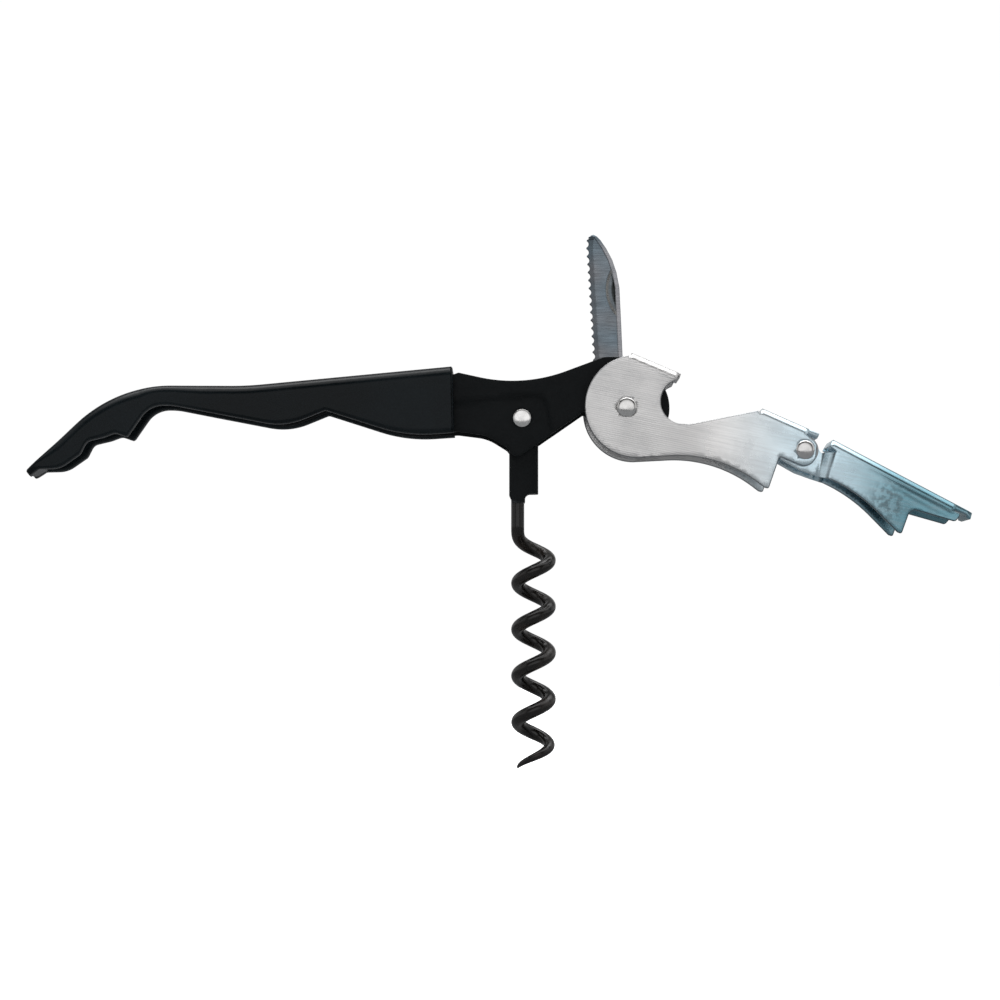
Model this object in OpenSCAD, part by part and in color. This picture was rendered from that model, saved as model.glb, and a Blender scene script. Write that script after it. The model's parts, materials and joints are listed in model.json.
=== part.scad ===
// Double-hinged waiters corkscrew, opened flat in the XZ plane.
// The origin is on the worm's axis at the level of its point. +Z is up, +X runs towards the lever.
// Outlines are lists of [x, z, r] corners in millimetres about a pivot: r rounds the corner.

/* [Handle] */
// Gap between the two frame cheeks, which the folded worm lies in
cheek_gap = 9; // [8.9:0.1:9.4]
// Thickness of each stamped cheek
cheek_t = 1; // [0.8:0.1:1.2]
// Width of the moulded grip over its flat sides
grip_w = 15; // [14.6:0.1:16]
// Thickness of the grip's top wall
grip_top_t = 1.5; // [1.2:0.1:1.6]

/* [Worm] */
// Height of the worm's pivot above its point
worm_h = 66; // [65:0.5:68]
// Diameter over the coil
coil_d = 8.5; // [8:0.1:8.6]
// Diameter of the worm's wire
wire_d = 2.5; // [2.2:0.1:2.6]
// Number of turns in the coil
coil_turns = 5; // [4:1:6]
// Rise of the coil in one turn
coil_pitch = 8.75; // [8:0.05:9]

/* [Lever] */
// Gap between a lever's two side plates
lever_gap = 11.6; // [11.6:0.1:12]
// Thickness of the lever's folded sheet
sheet_t = 1; // [0.8:0.1:1.1]

/* [Knife] */
// Thickness of the knife
knife_t = 1.4; // [1:0.1:1.6]
// Distance between teeth on the knife's edge
tooth_pitch = 1.5; // [1.2:0.1:2]
// Number of hollows ground between the teeth
tooth_count = 15; // [8:1:15]

/* [Rivets] */
// Radius of the worm's and the lever's rivets
rivet_r = 1.5; // [1.3:0.05:1.6]
// Radius of the rivet in the lever's second hinge
tip_rivet_r = 1.4; // [1.2:0.05:1.5]
// Running clearance around a rivet
run = 0.05; // [0.03:0.01:0.1]

/* [Hidden] */
$fn = 64;
eps = 0.02;
coil_off = coil_d / 2 - wire_d / 2 - 0.8;
worm_pivot = [-coil_off, worm_h];
lever_pivot = worm_pivot + [19.7, 1.9];
tip_pivot = lever_pivot + [33.5, -8];
cheek_in = cheek_gap / 2;
cheek_out = cheek_in + cheek_t;
lever_in = lever_gap / 2;
lever_out = lever_in + sheet_t;
grip_half = grip_w / 2;
// Half width of the narrowed tongue that runs between the upper lever's plates
tongue_out = lever_in - 0.3;
tongue_in = tongue_out - sheet_t;
// Half width over the worm clip's two ears
clip_out = wire_d / 2 + 1.25;
frame_rivet_at = [[-20, 5.9], [-33, 5.37]];
frame_rivet_r = 0.8;
// Distance that a cut runs past the faces that it opens
past = 1;

// ---- outline helpers ----

function unit(v) = v / norm(v);

// Arc that rounds corner q between its neighbours p and s with radius r
function fillet(p, q, s, r) =
    let (
        a = unit(p - q),
        b = unit(s - q),
        half = acos(max(-1, min(1, a * b))) / 2,
        centre = q + unit(a + b) * r / sin(half),
        start = q + a * r / tan(half) - centre,
        finish = q + b * r / tan(half) - centre,
        a0 = atan2(start.y, start.x),
        turn = sign(cross(start, finish)) * (180 - 2 * half),
        steps = max(2, ceil(abs(turn) * (4 + r / 4) / 60))
    )
    [for (i = [0:steps]) centre + r * [cos(a0 + turn * i / steps), sin(a0 + turn * i / steps)]];

// Closed outline through [x, z, r] corners
function outline(c) =
    let (n = len(c))
    [for (i = [0:n - 1])
        let (p = c[(i + n - 1) % n], q = c[i], s = c[(i + 1) % n])
        each (q[2] > 0 ? fillet([p.x, p.y], [q.x, q.y], [s.x, s.y], q[2]) : [[q.x, q.y]])];

// ---- building blocks: everything is extruded along Y between y0 and y1 ----

module plate(corners, y0, y1) {
    translate([0, y1, 0]) rotate([90, 0, 0])
        linear_extrude(y1 - y0) polygon(outline(corners));
}

module rod(r, y0, y1, at = [0, 0]) {
    translate([at.x, y1, at.y]) rotate([90, 0, 0]) cylinder(r = r, h = y1 - y0);
}

module at_pivot(p) {
    translate([p.x, 0, p.y]) children();
}

module ring(r_out, r_in, y0, y1) {
    difference() {
        rod(r_out, y0, y1);
        rod(r_in, y0 - past, y1 + past);
    }
}

// Rivet along Y: a shank and two domed heads, whose undersides are seat away from the middle
module rivet(r, head_r, head_h, seat) {
    rotate([90, 0, 0]) rotate_extrude()
        polygon(concat(
            [[0, -seat - head_h]],
            [for (a = [15:15:90]) [head_r * sin(a), -seat - head_h * cos(a)]],
            [[r, -seat], [r, seat]],
            [for (a = [90:-15:15]) [head_r * sin(a), seat + head_h * cos(a)]],
            [[0, seat + head_h]]));
}

// ---- frame ----

spring_rivet_x = -26.5;
spring_rivet_r = 0.9;
spring_t = 0.7;
// Height of the spacer's underside, which the spring is riveted to
spacer_z = 4.4;

cheek_corners = [
    [-60, 2.2, 0.8], [-60, 4.2, 0.8], [-52, 4.65, 0], [-13.6, 8, 0], [-12, 8.6, 0.4], [0.3, 5.9, 29],
    [15.6, 11.6, 4], [19, 11.5, 0.3], [19, 3, 0], [13, 1.2, 0], [11.9, 1.4, 0],
    [-1.2, -7.7, 1.2], [-2.8, -5.6, 1], [-6.5, -3.3, 8], [-12, -2.6, 0], [-22, -2.8, 6],
    [-36.9, 2, 1], [-44.6, -1, 6]
];
// Pressed recess around the worm's rivet, in each cheek's outer face
recess_corners = [
    [-10.5, 3.2, 0.6], [4.4, 4.6, 2.2], [6.6, -6, 1], [-10.5, -6, 0.6]
];
recess_depth = 0.4;
frame_end_r = 8.1;

module cheek(y0, y1, outer) {
    at_pivot(worm_pivot) difference() {
        union() {
            plate(cheek_corners, y0, y1);
            rod(frame_end_r, y0, y1, lever_pivot - worm_pivot);
        }
        plate(recess_corners, outer - recess_depth, outer + recess_depth);
        rod(rivet_r + eps, y0 - past, y1 + past);
        rod(rivet_r + eps, y0 - past, y1 + past, lever_pivot - worm_pivot);
        for (p = frame_rivet_at) rod(frame_rivet_r + eps, y0 - past, y1 + past, p);
    }
}

module front_cheek() {
    color([0.06, 0.07, 0.07]) cheek(-cheek_out, -cheek_in, -cheek_out);
}

module rear_cheek() {
    color([0.06, 0.07, 0.07]) cheek(cheek_in, cheek_out, cheek_out);
}

module spine_spacer() {
    color("dimgray") at_pivot(worm_pivot) difference() {
        plate([[-38, spacer_z, 0], [-38, 5.9, 0.5], [-16, 7.8, 0.5], [-16, spacer_z, 0]],
            -cheek_in, cheek_in);
        for (p = frame_rivet_at) rod(frame_rivet_r + eps, -past - cheek_in, cheek_in + past, p);
        translate([spring_rivet_x, 0, spacer_z - past])
            cylinder(r = spring_rivet_r + eps, h = past + 1);
    }
}

// Leaf that bears on the worm's clip; its fork lets the folded knife pass
module backspring() {
    color("silver") at_pivot(worm_pivot) difference() {
        plate([[-37, spacer_z, 0], [-16, spacer_z, 8], [-3, 3.6, 4], [1.5, 3.6, 0], [1.5, 2.9, 0.3],
            [-3, 2.9, 4], [-16, spacer_z - spring_t, 8], [-37, spacer_z - spring_t, 0]],
            -cheek_in + 0.3, cheek_in - 0.3);
        translate([-15, -1.2, 2]) cube([20, 2.4, 4]);
        translate([spring_rivet_x, 0, 3]) cylinder(r = spring_rivet_r + eps, h = 2);
    }
}

module spring_rivet() {
    color("silver") at_pivot(worm_pivot) translate([spring_rivet_x, 0, 0]) {
        translate([0, 0, spacer_z - spring_t - 0.25]) cylinder(r = 1.5, h = 0.25);
        translate([0, 0, spacer_z - spring_t]) cylinder(r = spring_rivet_r, h = spring_t + 1);
    }
}

module frame_rivet(i) {
    color("silver") at_pivot(worm_pivot)
        rod(frame_rivet_r, -cheek_out, cheek_out, frame_rivet_at[i]);
}

// ---- grip ----

grip_corners = [
    [-13.1, 9.9, 0.9], [-52, 6.2, 60], [-76.5, 6.3, 26], [-93.7, -9.9, 0.5], [-92.8, -11, 0.4],
    [-91, -9.7, 0.5], [-87, -9.6, 5], [-83.2, -6.9, 0.3], [-82, -4.5, 1.6], [-78.7, -3.7, 0.3],
    [-76.6, -2.9, 1.5], [-74.3, -3.7, 0.5], [-70.2, 2.3, 5], [-66, 2.3, 12], [-44.6, -1.8, 13],
    [-37, 1.3, 0.8], [-22, -3.5, 28], [-12.8, -2.9, 0.4]
];
// Where the grip's sides start to close in towards the tail, and by how much they do
taper_x = -58;
taper = 1.6;

module grip_body() {
    difference() {
        plate(grip_corners, -grip_half, grip_half);
        for (side = [0, 1]) mirror([0, side, 0]) translate([0, 0, -20]) linear_extrude(40)
            polygon([[taper_x, grip_half], [-95, grip_half - taper], [-95, grip_half + past],
                [taper_x, grip_half + past]]);
    }
}

module grip_shell() {
    top = grip_top_t;
    color([0.05, 0.06, 0.06]) at_pivot(worm_pivot) difference() {
        grip_body();
        // Channel for the cheeks and the folded worm
        plate([[-11, 9.95 - top, 0], [-52, 6.25 - top, 0], [-66, 6.2 - top, 0],
            [-66, -14, 0], [-11, -14, 0]], -cheek_out, cheek_out);
        // Hollow of the tail, open underneath
        plate([[-67, 6.2 - top, 0], [-70, 6 - top, 4], [-77, 3.4 - top, 6], [-90.5, -8.9, 0],
            [-90.5, -14, 0], [-67, -14, 0]], -3.9, 3.9);
        // Relief for the folded knife's point
        translate([-15.6, -1.2, 5]) cube([4, 2.4, 6]);
    }
}

// ---- rivets, bushes and washers ----

module worm_rivet() {
    color("white") at_pivot(worm_pivot)
        rivet(rivet_r, 1.7, 0.35, cheek_out - recess_depth);
}

module lever_rivet() {
    color("white") at_pivot(lever_pivot) rivet(rivet_r, 1.85, 0.6, lever_out + run);
}

module tip_rivet() {
    color("white") at_pivot(tip_pivot) rivet(tip_rivet_r, 1.75, 0.6, lever_out);
}

module worm_bush(side) {
    color("silver") at_pivot(worm_pivot) mirror([0, side, 0])
        ring(2.4, rivet_r + eps, clip_out + run, cheek_in);
}

module knife_bush(side) {
    color("silver") at_pivot(lever_pivot) mirror([0, side, 0])
        ring(3, rivet_r + eps, knife_t / 2 + run, cheek_in);
}

module lever_washer(side) {
    color("silver") at_pivot(lever_pivot) mirror([0, side, 0])
        ring(4, rivet_r + eps, cheek_out, lever_in - run);
}

module tip_washer(side) {
    color("silver") at_pivot(tip_pivot) mirror([0, side, 0])
        ring(2.6, tip_rivet_r + eps, tongue_out + run, lever_in);
}

// ---- worm ----

clip_corners = [
    [3.1, -1.5, 1], [-2.4, -0.5, 0], [-2.4, -14.3, 0.4], [-2, -15.2, 0.3], [-2, -15.8, 0],
    [0.6, -15.8, 0], [0.6, -14.1, 1.2], [3.1, -14.1, 0.2]
];
clip_eye_r = 2.55;
wire_top = -4;

// Folded steel clip: two ears on the rivet and a fold along one side, closed on the wire
module worm_clip() {
    color([0.05, 0.06, 0.06]) at_pivot(worm_pivot) difference() {
        union() {
            for (side = [0, 1]) mirror([0, side, 0]) {
                plate(clip_corners, wire_d / 2, clip_out);
                rod(clip_eye_r, wire_d / 2, clip_out);
            }
            plate([[2, -14.1, 0], [2, -5, 0], [3.1, -5, 0], [3.1, -14.1, 0.2]],
                -clip_out, clip_out);
        }
        rod(rivet_r + run, -past - clip_out, clip_out + past);
    }
}

helix_r = (coil_d - wire_d) / 2;
// Height over which the straight shank turns into the coil
lead_in = 4;
coil_drop = coil_turns * coil_pitch + lead_in / 2;
// Length of the straight shank, which brings the point down to the origin
shank_drop = worm_h + wire_top - coil_drop;
wire_sides = 10;
ring_step = coil_pitch / 18;
point_drop = 6;

// Turns made at distance u below the shank
function turns(u) =
    u < 0 ? 0 : u < lead_in ? u * u / (2 * lead_in * coil_pitch) : (u - lead_in / 2) / coil_pitch;

function wire_at(u) =
    let (a = 180 - 360 * turns(u))
    [helix_r * cos(a), helix_r * sin(a), worm_h + wire_top - shank_drop - u];

function wire_r(u) =
    let (left = (coil_drop - u) / point_drop)
    wire_d / 2 * (left > 1 ? 1 : max(0.08, sqrt(max(0, left))));

function wire_ring(u) =
    let (
        a = 180 - 360 * turns(u),
        out = [cos(a), sin(a), 0],
        along = unit(wire_at(u + 0.05) - wire_at(u - 0.05)),
        across = cross(along, out)
    )
    [for (i = [0:wire_sides - 1])
        wire_at(u) + wire_r(u) * (cos(360 * i / wire_sides) * out
            + sin(360 * i / wire_sides) * across)];

module worm_wire() {
    drops = concat([-shank_drop], [for (u = [-1:ring_step:coil_drop]) u], [coil_drop]);
    points = [for (u = drops) each wire_ring(u)];
    n = wire_sides;
    last = (len(drops) - 1) * n;
    sides = [for (k = [0:len(drops) - 2]) for (i = [0:n - 1])
        let (a = k * n + i, b = k * n + (i + 1) % n) each [[a, b, b + n], [a, b + n, a + n]]];
    ends = [[for (i = [n - 1:-1:0]) i], [for (i = [0:n - 1]) last + i]];
    color([0.05, 0.05, 0.05]) polyhedron(points, concat(sides, ends));
}

// ---- knife ----

knife_corners = [
    [-5.6, 0.5, 2.5], [-6.1, 9, 0], [-7.4, 31.4, 0], [-7.3, 33.8, 0.9], [-5, 33.3, 2],
    [-2.2, 28.3, 9], [-1.1, 23.4, 12], [-0.5, 9.8, 0], [3.6, 2, 2], [3.4, -3.4, 2.6],
    [-3.6, -3.6, 2.6]
];
tooth_hollow_r = 0.8;
tooth_from = [-6.45, 9.9];
tooth_to = [-7.75, 31];

module knife_blade() {
    half = knife_t / 2;
    along = unit(tooth_to - tooth_from);
    color("silver") at_pivot(lever_pivot) difference() {
        plate(knife_corners, -half, half);
        rod(rivet_r + run, -past - half, half + past);
        for (i = [0:tooth_count - 1])
            rod(tooth_hollow_r, -past - half, half + past, tooth_from + along * tooth_pitch * i);
        // Nail nick in the front face
        intersection() {
            rod(7, -half - past, -half + 0.4, [3.3, 22.4]);
            plate([[-6, 16, 0], [-6, 29, 0], [-2.8, 29, 0], [-2, 16, 0]],
                -half - past, -half + 0.4);
        }
    }
}

// ---- two-stage lever ----

disc_at = [1.8, 0.2];
disc_r = 9.7;
arm_corners = [
    [1, 0, 0], [10, 6.6, 0], [9.9, 5.3, 0], [7, 4, 0], [7, -3, 0], [12, -3.15, 2],
    [25.2, -0.5, 0], [25.6, -0.1, 0], [36, -4.9, 2.4], [35.2, -12, 2.2], [28.7, -9.3, 0.3],
    [26.6, -15.3, 0.3], [25.8, -15.1, 0.3], [17.4, -8.7, 25], [2, -9.5, 0]
];
cap_notch_at = [10.6, 1.1];
cap_notch_r = 4.2;
// Corners of the top fold over the disc, the top fold at the second hinge, and the cap claw
tab_corners = [[1, 10.4, 0.2], [10.2, 6.5, 0.2], [9.9, 5.3, 0.2], [9, 5.4, 0.2], [8.9, 6.1, 0],
    [0.5, 9.5, 0]];
fold_corners = [[25.6, -0.1, 0.2], [36.4, -4.9, 0.2], [35.9, -5.8, 0.2], [25.2, -1.1, 0.2]];

module arm_plate(y0, y1) {
    difference() {
        union() {
            intersection() {
                rod(disc_r, y0, y1, disc_at);
                plate([[-20, -20, 0], [20, -20, 0], [20, 2.3, 0], [1, 10.4, 0], [0.5, 10.4, 0],
                    [-0.3, 9.5, 0], [-20, 9.5, 0]], y0, y1);
            }
            plate(arm_corners, y0, y1);
        }
        rod(cap_notch_r, y0 - past, y1 + past, cap_notch_at);
        rod(rivet_r + run, y0 - past, y1 + past);
        rod(tip_rivet_r + eps, y0 - past, y1 + past, tip_pivot - lever_pivot);
    }
}

module lever_arm() {
    color([0.8, 0.83, 0.85]) at_pivot(lever_pivot) {
        arm_plate(-lever_out, -lever_in);
        arm_plate(lever_in, lever_out);
        plate(tab_corners, -lever_out, lever_out);
        plate(fold_corners, -lever_out, lever_out);
    }
}

tip_corners = [
    [5.2, 1.9, 0], [29, -11, 0], [29.1, -12.3, 0.6], [28, -13.4, 0.6], [20.4, -11.3, 0.5],
    [19.4, -12, 0.3], [18, -15.8, 0.3], [17.2, -15.5, 0.3], [9.5, -7.6, 30], [3.5, -5.1, 0.3],
    [4.9, -0.4, 2]
];
tip_fold_corners = [
    [5.4, 2, 0.2], [31.5, -11.8, 0.3], [31.1, -13.1, 0.2], [30.3, -12.7, 0.2],
    [30.4, -12.3, 0], [4.9, 1.1, 0.2]
];
tongue_corners = [
    [-4.6, 0.6, 1.2], [-1.5, 2.4, 1], [0, 0.5, 0], [3, -0.5, 0], [6.2, -0.5, 0.4],
    [5.4, -5.9, 0.4], [3, -5.3, 3], [-4.7, -1.6, 1]
];
tongue_eye_r = 2.9;

module tip_arm() {
    color([0.7, 0.8, 0.84]) at_pivot(tip_pivot) {
        for (side = [0, 1]) mirror([0, side, 0]) {
            plate(tip_corners, lever_in, lever_out);
            difference() {
                union() {
                    plate(tongue_corners, tongue_in, tongue_out);
                    rod(tongue_eye_r, tongue_in, tongue_out);
                }
                rod(tip_rivet_r + run, tongue_in - past, tongue_out + past);
            }
            // Joggle that steps the tongue out to the full width
            plate([[4.9, -0.6, 0], [6.1, -0.6, 0], [5.4, -5.8, 0], [3.9, -5.2, 0]],
                tongue_in, lever_out - 0.2);
        }
        plate(tip_fold_corners, -lever_out, lever_out);
    }
}

front_cheek();
rear_cheek();
spine_spacer();
backspring();
spring_rivet();
frame_rivet(0);  // frame_rivet_1
frame_rivet(1);  // frame_rivet_2
grip_shell();
worm_rivet();
lever_rivet();
worm_bush(1);  // worm_bush_front
worm_bush(0);  // worm_bush_rear
knife_bush(1);  // knife_bush_front
knife_bush(0);  // knife_bush_rear
lever_washer(1);  // lever_washer_front
lever_washer(0);  // lever_washer_rear
worm_clip();
worm_wire();
knife_blade();
lever_arm();
tip_rivet();
tip_washer(1);  // tip_washer_front
tip_washer(0);  // tip_washer_rear
tip_arm();
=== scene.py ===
"""Finished pieces, finishes, stage and lights of a double-hinged waiters corkscrew.

Lengths inside the shape functions are millimetres about a rivet, and pieces are placed in metres.
"""

import json
import math

import bmesh
import bpy
import numpy as np
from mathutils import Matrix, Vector
from mathutils.geometry import delaunay_2d_cdt


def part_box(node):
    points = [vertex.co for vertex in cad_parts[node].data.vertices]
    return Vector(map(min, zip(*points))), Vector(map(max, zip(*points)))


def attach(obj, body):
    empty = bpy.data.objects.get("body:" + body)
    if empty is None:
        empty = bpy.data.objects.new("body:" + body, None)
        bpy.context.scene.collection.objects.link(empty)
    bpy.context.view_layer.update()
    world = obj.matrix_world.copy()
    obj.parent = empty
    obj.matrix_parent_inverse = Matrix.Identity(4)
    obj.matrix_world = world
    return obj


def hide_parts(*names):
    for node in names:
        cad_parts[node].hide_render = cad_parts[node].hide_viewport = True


bl_info = {
    "name": "Waiters corkscrew",
    "version": (1, 0, 0),
    "blender": (4, 5, 0),
    "location": "View3D > Sidebar > Corkscrew",
    "description": "Builds the finished pieces of a double-hinged waiters corkscrew",
    "category": "Object",
}

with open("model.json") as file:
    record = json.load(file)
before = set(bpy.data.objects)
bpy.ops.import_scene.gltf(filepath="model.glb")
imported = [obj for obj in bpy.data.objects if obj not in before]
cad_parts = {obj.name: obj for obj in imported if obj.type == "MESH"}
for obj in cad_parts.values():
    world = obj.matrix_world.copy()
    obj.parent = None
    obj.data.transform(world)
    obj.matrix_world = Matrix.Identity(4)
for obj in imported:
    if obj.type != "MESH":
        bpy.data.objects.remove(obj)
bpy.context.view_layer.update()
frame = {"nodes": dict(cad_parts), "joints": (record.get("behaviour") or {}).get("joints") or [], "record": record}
MM = 0.001
JOINTS = {j["name"]: np.array(j["pos_m"], float)[[0, 2]] / MM for j in frame["joints"]}
WORM_AT = JOINTS["worm_fold"]
LEVER_AT = JOINTS["lever_fold"]
TIP_AT = JOINTS["tip_fold"]
SLOT_OF = {s["node"]: s["material_slot"] for s in frame["record"]["subparts"]}


def size_mm(node, axis):
    """Lowest and highest value of a node's box along one axis, in millimetres."""
    low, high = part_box(node)
    return low[axis] / MM, high[axis] / MM


CHEEK_Y = size_mm("rear_cheek", 1)
LEVER_Y = size_mm("lever_arm", 1)[1]
GRIP_Y = size_mm("grip_shell", 1)[1]
CLIP_Y = size_mm("worm_clip", 1)[1]
KNIFE_Y = size_mm("knife_blade", 1)[1]
WIRE_X = size_mm("worm_wire", 0)


# ---- sizes and colours that a user would change ----


def length(name, description, value):
    return bpy.props.FloatProperty(
        name=name, description=description, default=value, min=0, precision=3, unit="NONE"
    )


def colour(name, description, value):
    return bpy.props.FloatVectorProperty(
        name=name, description=description, default=value, size=3, min=0, max=1, subtype="COLOR"
    )


class CorkscrewSizes(bpy.types.PropertyGroup):
    sheet: length("Lever sheet", "Thickness of the levers' folded sheet, in mm", 1.0)
    sheet_edge: length("Sheet edge", "Radius that tumbling leaves on the levers' edges, in mm", 0.22)
    cheek_edge: length("Cheek edge", "Radius on the painted cheeks' edges, in mm", 0.18)
    bend: length("Bend", "Outer radius of the levers' folds, in mm", 1.5)
    recess: length("Recess", "Depth of the pressed recess around the worm's rivet, in mm", 0.4)
    grip_corner: length("Grip corner", "Radius along the grip's two top edges, in mm", 2.3)
    tooth_pitch: length("Tooth pitch", "Distance between the knife's teeth, in mm", 1.53)


class CorkscrewFinishes(bpy.types.PropertyGroup):
    paint: colour("Paint", "Satin paint on the cheeks and the clip", (0.0028, 0.0034, 0.0038))
    grip: colour("Grip", "Glossy moulded grip", (0.0022, 0.0034, 0.0042))
    coating: colour("Worm coating", "Glossy coating on the worm", (0.0035, 0.003, 0.0026))
    knife: colour("Knife", "Ground blade steel", (0.20, 0.25, 0.29))
    plate_warm: colour("Plate by the disc", "Bright plating on the first lever", (0.84, 0.83, 0.825))
    plate_cool: colour("Plate by the tip", "Bright plating on the second lever", (0.71, 0.89, 0.98))
    # Painted shade: the tone that the second lever's plating darkens to towards its end
    plate_end_painted_shade: colour("Plate at the end", "Bluish plating at the second lever's end", (0.17, 0.35, 0.42))
    rivet: colour("Rivet", "Bright rivet heads", (0.92, 0.91, 0.90))
    inner: colour("Inner steel", "Plain steel of the inner pieces", (0.42, 0.43, 0.44))
    backdrop: colour("Backdrop", "Pale floor and backdrop", (0.93, 0.93, 0.93))


# ---- outlines: closed runs of [x, z] points, anticlockwise ----


def arc(centre, r, start, stop, step=7.0):
    """Points on a circle about centre from angle start to stop, in degrees."""
    n = max(3, int(math.ceil(abs(stop - start) / step)) + 1)
    a = np.radians(np.linspace(start, stop, n))
    return np.stack([centre[0] + r * np.cos(a), centre[1] + r * np.sin(a)], 1)


def rounded(corners):
    """A closed outline through [x, z, r] corners. Each corner with r is an arc of that radius that
    touches both of its sides, with its centre on the corner's bisector at r / sin(half angle)."""
    c = np.array(corners, float)
    runs = []
    for p, q, s in zip(np.roll(c, 1, 0), c, np.roll(c, -1, 0)):
        if q[2] <= 0:
            runs.append(q[None, :2])
            continue
        a, b = (v / np.linalg.norm(v) for v in (p[:2] - q[:2], s[:2] - q[:2]))
        half = math.acos(np.clip(a @ b, -1, 1)) / 2
        centre = q[:2] + (a + b) / np.linalg.norm(a + b) * q[2] / math.sin(half)
        first = q[:2] + a * q[2] / math.tan(half) - centre
        start = math.degrees(math.atan2(first[1], first[0]))
        turn = 180 - math.degrees(2 * half)
        turn *= np.sign(first[0] * (b[1] - a[1]) - first[1] * (b[0] - a[0]))
        step = min(12, math.degrees(0.45 / q[2])) if q[2] > 0.6 else 18
        runs.append(arc(centre, q[2], start, start + turn, max(step, 1.0)))
    pts = np.concatenate(runs)
    x, z = pts.T
    area = np.sum(x * np.roll(z, -1) - z * np.roll(x, -1))
    return pts if area > 0 else pts[::-1]


def open_run(corners, spare, last):
    """The outline through corners without the spare corner that closed it. It starts after the
    point nearest to last, which is left out too."""
    pts = rounded(corners + [[*spare, 0]])
    pts = pts[~np.isclose(pts, spare).all(1)]
    return np.roll(pts, -int(np.argmin(np.linalg.norm(pts - last, axis=1))) - 1, 0)[:-1]


def subdivided(pts, longest, keep=()):
    """The outline with every side longer than longest cut into equal parts, apart from the sides
    that start at a point in keep."""
    out = []
    for p, q in zip(pts, np.roll(pts, -1, 0)):
        n = 1 if any(np.allclose(p, k) for k in keep) else int(np.linalg.norm(q - p) / longest) + 1
        out.append(p + (q - p) * (np.arange(n) / n)[:, None])
    return np.concatenate(out)


def inside(points, outline):
    """Whether each point is inside the outline: the sides it looks up at are an odd number."""
    x, z = points[:, :1], points[:, 1:]
    p, q = outline, np.roll(outline, -1, 0)
    dz = np.where(q[:, 1] == p[:, 1], 1e-12, q[:, 1] - p[:, 1])
    hit = ((p[:, 1] > z) != (q[:, 1] > z)) & (x < (q[:, 0] - p[:, 0]) * (z - p[:, 1]) / dz + p[:, 0])
    return hit.sum(1) % 2 == 1


def distance(points, outline, closed=True):
    """Distance of each point from the nearest side of the outline."""
    p = outline if closed else outline[:-1]
    q = np.roll(outline, -1, 0) if closed else outline[1:]
    d = q - p
    t = ((points[:, None] - p) * d).sum(2) / np.maximum((d * d).sum(1), 1e-12)
    near = p + np.clip(t, 0, 1)[..., None] * d
    return np.linalg.norm(points[:, None] - near, axis=2).min(1)


def step(x):
    """0 below 0, 1 above 1, and a smooth cubic rise between them."""
    x = np.clip(x, 0, 1)
    return x * x * (3 - 2 * x)


# ---- meshes ----


class Shell:
    """Points and faces of one piece, gathered from several surfaces and welded when built."""

    def __init__(self):
        self.points, self.faces, self.count = [], [], 0

    def add(self, points, faces):
        self.points.append(np.asarray(points, float).reshape(-1, 3))
        self.faces += (np.asarray(faces) + self.count).tolist()
        self.count += len(self.points[-1])

    def grid(self, p, wrap=False):
        """Quads between neighbouring points of an [rows, columns, 3] surface."""
        rows, cols = p.shape[:2]
        i, j = np.meshgrid(np.arange(rows - 1), np.arange(cols if wrap else cols - 1), indexing="ij")
        k = (j + 1) % cols
        quads = np.stack([i * cols + j, i * cols + k, (i + 1) * cols + k, (i + 1) * cols + j], -1)
        self.add(p, quads.reshape(-1, 4))

    def fan(self, ring, centre):
        """Triangles from a closed ring of points to its centre."""
        n = len(ring)
        i = np.arange(n)
        self.add(np.concatenate([ring, [centre]]), np.stack([i, (i + 1) % n, np.full(n, n)], 1))

    def build(self, name, at=(0, 0), weighted=True):
        """Welds the points, turns the faces outwards and makes the object, moved to at."""
        p = np.concatenate(self.points) + [at[0], 0, at[1]]
        mesh = bpy.data.meshes.new(name)
        mesh.from_pydata((p * MM).tolist(), [], self.faces)
        bm = bmesh.new()
        bm.from_mesh(mesh)
        bmesh.ops.remove_doubles(bm, verts=bm.verts, dist=2e-6)
        bmesh.ops.dissolve_degenerate(bm, edges=bm.edges, dist=1e-7)
        bmesh.ops.recalc_face_normals(bm, faces=bm.faces)
        bm.to_mesh(mesh)
        bm.free()
        mesh.shade_smooth()
        obj = bpy.data.objects.new(name, mesh)
        bpy.context.scene.collection.objects.link(obj)
        if weighted:
            mod = obj.modifiers.new("Weighted normals", "WEIGHTED_NORMAL")
            mod.mode, mod.weight, mod.keep_sharp = "FACE_AREA", 80, False
        return obj


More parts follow.
